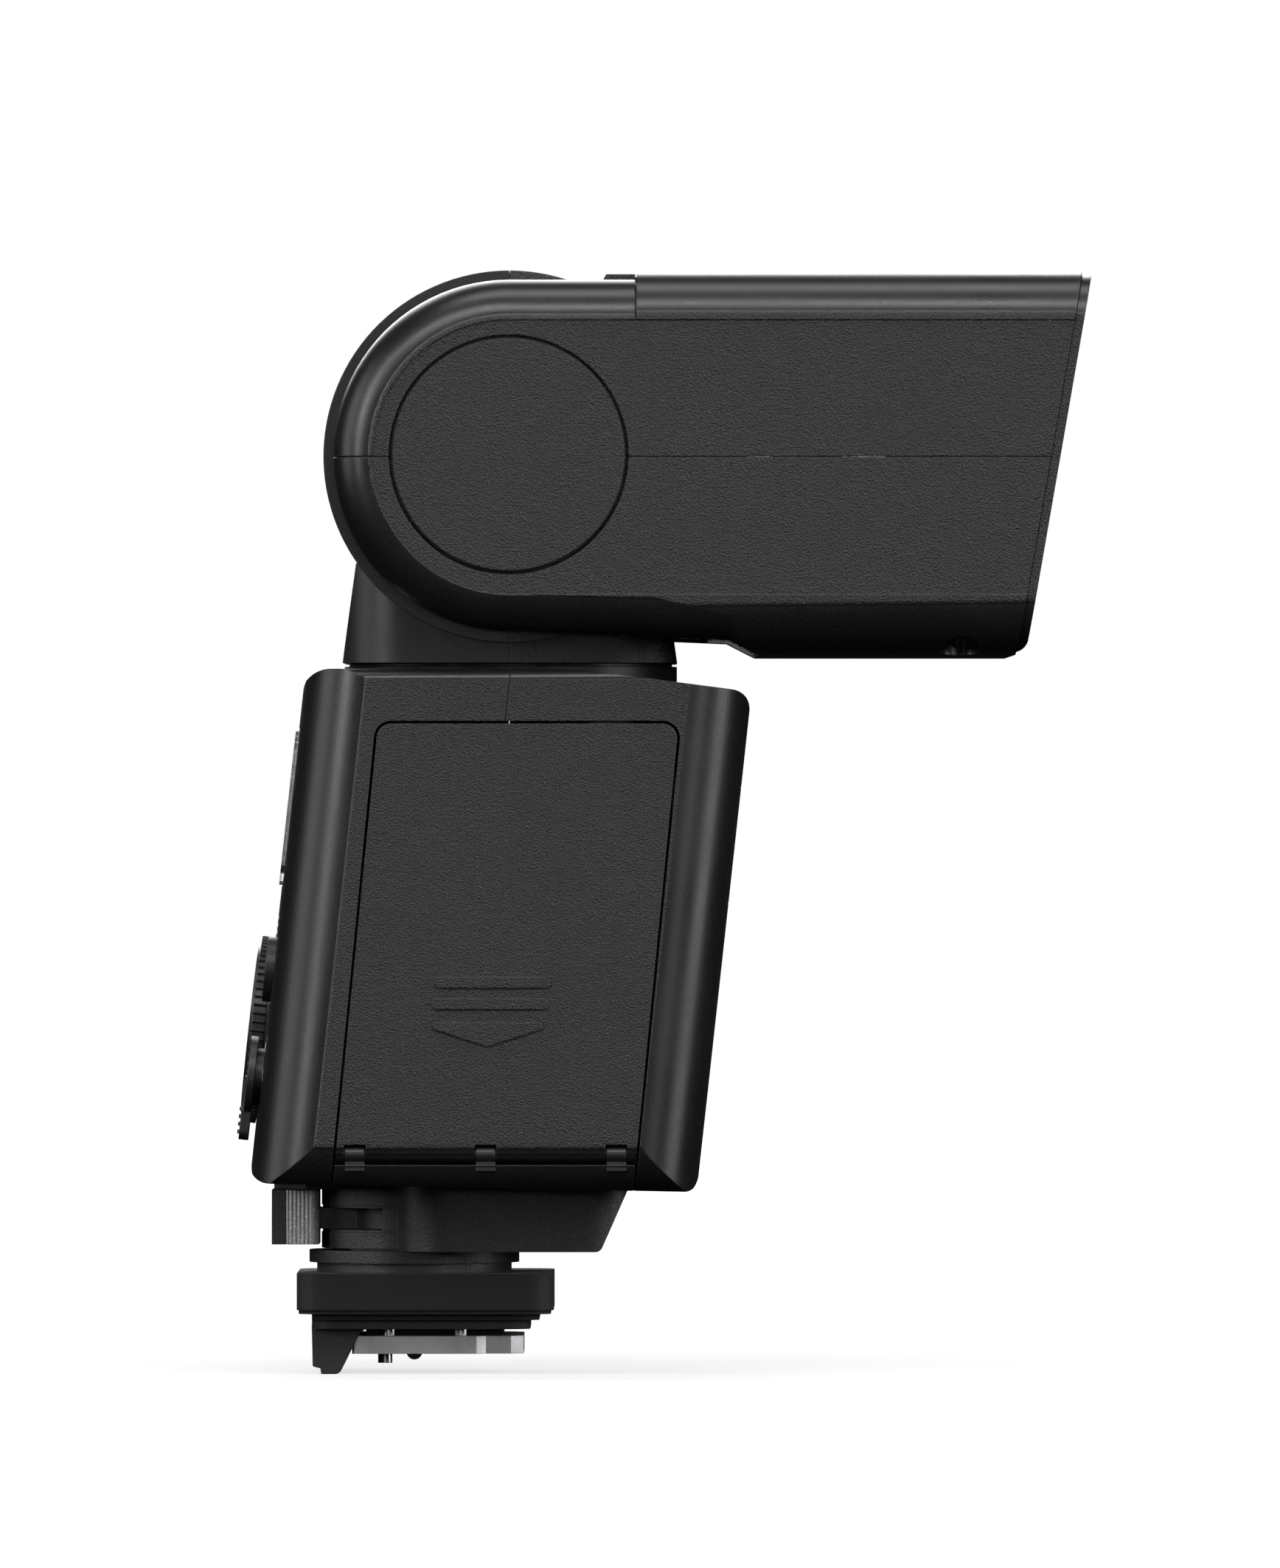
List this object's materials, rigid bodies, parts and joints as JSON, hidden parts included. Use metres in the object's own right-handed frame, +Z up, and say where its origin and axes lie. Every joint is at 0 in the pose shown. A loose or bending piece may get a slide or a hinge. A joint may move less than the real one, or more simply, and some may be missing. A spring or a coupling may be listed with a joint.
{
  "type": "speedlight flash",
  "caption": "Shoe-mount camera flash: leaning control body on a locking foot, with a swivel turret and a tilting head that holds a zoom reflector, bounce card and wide panel.",
  "frame": {"origin": "centre of the underside of the metal foot plate", "axes": "+Z up, the head fires towards -Y, the battery door is on the -X side"},
  "size_m": [0.0694, 0.0884, 0.1146],
  "materials": {
    "panel_plastic": "fine grain",
    "turret_plastic": "satin",
    "foot_plastic": "fine grain",
    "foot_rubber": "matt",
    "control_plastic": "satin",
    "grey_plastic": "satin",
    "inner_plastic": "matt",
    "foot_metal": "brushed",
    "steel": "bright",
    "cast_metal": "cast",
    "bush_brass": "satin",
    "contact_plating": "bright",
    "board": "solder mask",
    "display": "matt",
    "window": "polished",
    "lens_clear": "clear",
    "card_white": "matt",
    "mirror_bright": "bright",
    "tube_glass": "clear",
    "cell_sleeve": "printed sleeve",
    "capacitor_sleeve": "sleeve"
  },
  "bodies": {
    "root": {"body_rear_shell": "panel_plastic", "body_front_shell": "panel_plastic", "lcd_window": "window", "lcd_module": "display", "control_pcb": "board", "dial_encoder": "inner_plastic", "lamp_window": "window", "lamp_board": "board", "swivel_collar": "turret_plastic", "battery_chamber": "inner_plastic", "battery_cells": "cell_sleeve", "battery_contacts": "contact_plating", "main_capacitor": "capacitor_sleeve", "power_pcb": "board", "foot_block": "foot_plastic", "foot_neck": "foot_plastic", "foot_skirt": "foot_rubber", "foot_plate": "foot_metal", "contact_insulator": "inner_plastic", "foot_screws": "steel", "case_screws": "steel"},
    "turret": {"turret_rear_cover": "turret_plastic", "turret_front_cover": "turret_plastic", "turret_frame": "cast_metal", "tilt_shaft": "steel", "swivel_retainer": "inner_plastic", "retainer_screws": "steel"},
    "head": {"head_upper_shell": "panel_plastic", "head_lower_shell": "panel_plastic", "head_top_cover": "panel_plastic", "tilt_cap_left": "panel_plastic", "tilt_cap_right": "panel_plastic", "tilt_bushes": "bush_brass", "tilt_screws": "steel", "front_bezel": "panel_plastic", "fresnel_lens": "lens_clear", "card_tray": "inner_plastic", "zoom_frame": "inner_plastic", "guide_rods": "steel", "zoom_motor": "steel", "trigger_board": "board"},
    "zoom_carriage": {"zoom_carriage": "inner_plastic", "reflector": "mirror_bright", "flash_tube": "tube_glass"},
    "zoom_screw": {"zoom_screw": "steel"},
    "bounce_card": {"bounce_card": "card_white"},
    "wide_panel": {"wide_panel": "lens_clear"},
    "control_dial": {"control_dial": "control_plastic"},
    "dial_button": {"dial_button": "control_plastic"},
    "menu_button": {"menu_button": "control_plastic"},
    "mode_button": {"mode_button": "control_plastic"},
    "test_button": {"test_button": "control_plastic"},
    "power_lever": {"power_lever": "control_plastic"},
    "door_carrier": {"door_carrier": "panel_plastic"},
    "battery_door": {"battery_door": "panel_plastic", "door_contacts": "contact_plating"},
    "lock_lever": {"lock_lever": "foot_plastic", "lever_grip": "grey_plastic"},
    "lock_pin": {"lock_pin": "steel"},
    "shoe_contact": {"shoe_contact": "contact_plating"}
  },
  "joints": [
    {"name": "head_swivel", "type": "hinge", "parent": "root", "child": "turret", "pos_m": [0, -0.0101, 0.0718], "axis": [0, 0, 1], "range_deg": [-180, 180]},
    {"name": "head_tilt", "type": "hinge", "parent": "turret", "child": "head", "pos_m": [0, -0.0101, 0.0933], "axis": [-1, 0, 0], "range_deg": [-8, 150]},
    {"name": "zoom_slide", "type": "slide", "parent": "head", "child": "zoom_carriage", "axis": [0, -1, 0], "range_m": [0, 0.011]},
    {"name": "zoom_screw_spin", "type": "hinge", "parent": "head", "child": "zoom_screw", "pos_m": [0.0292, -0.045, 0.098], "axis": [0, -1, 0], "range_deg": [0, 1321]},
    {"name": "bounce_card_slide", "type": "slide", "parent": "head", "child": "bounce_card", "axis": [0, -1, 0], "range_m": [0, 0.036]},
    {"name": "wide_panel_slide", "type": "slide", "parent": "head", "child": "wide_panel", "axis": [0, -1, 0], "range_m": [0, 0.036]},
    {"name": "dial_spin", "type": "hinge", "parent": "root", "child": "control_dial", "pos_m": [0, 0.01544, 0.0336], "axis": [0, 0.9941, 0.1089], "continuous": true},
    {"name": "dial_button_press", "type": "slide", "parent": "root", "child": "dial_button", "axis": [0, -0.9941, -0.1089], "range_m": [0, 0.0005], "stiffness_N_per_m": 400},
    {"name": "menu_button_press", "type": "slide", "parent": "root", "child": "menu_button", "axis": [0, -0.9941, -0.1089], "range_m": [0, 0.0006], "stiffness_N_per_m": 400},
    {"name": "mode_button_press", "type": "slide", "parent": "root", "child": "mode_button", "axis": [0, -0.9941, -0.1089], "range_m": [0, 0.0006], "stiffness_N_per_m": 400},
    {"name": "test_button_press", "type": "slide", "parent": "root", "child": "test_button", "axis": [0, -0.9941, -0.1089], "range_m": [0, 0.0006], "stiffness_N_per_m": 400},
    {"name": "power_lever_turn", "type": "hinge", "parent": "root", "child": "power_lever", "pos_m": [-0.02, 0.01594, 0.029], "axis": [0, 0.9941, 0.1089], "range_deg": [0, 40]},
    {"name": "door_slide", "type": "slide", "parent": "root", "child": "door_carrier", "axis": [0, 0.0979, -0.9952], "range_m": [0, 0.0035]},
    {"name": "door_hinge", "type": "hinge", "parent": "door_carrier", "child": "battery_door", "pos_m": [-0.0309, -0.0077, 0.02125], "axis": [0, -1, 0], "range_deg": [0, 85]},
    {"name": "lock_lever_turn", "type": "hinge", "parent": "root", "child": "lock_lever", "pos_m": [0, 0, 0.014], "axis": [0, 0, 1], "range_deg": [0, 35]},
    {"name": "lock_pin_slide", "type": "slide", "parent": "root", "child": "lock_pin", "axis": [0, 0, 1], "range_m": [0, 0.0013]},
    {"name": "shoe_contact_press", "type": "slide", "parent": "root", "child": "shoe_contact", "axis": [0, 0, 1], "range_m": [0, 0.0008], "stiffness_N_per_m": 400}
  ],
  "couplings": [
    {"joint": "lock_pin_slide", "follows": "lock_lever_turn", "m_per_rad": 0.0021}
  ]
}
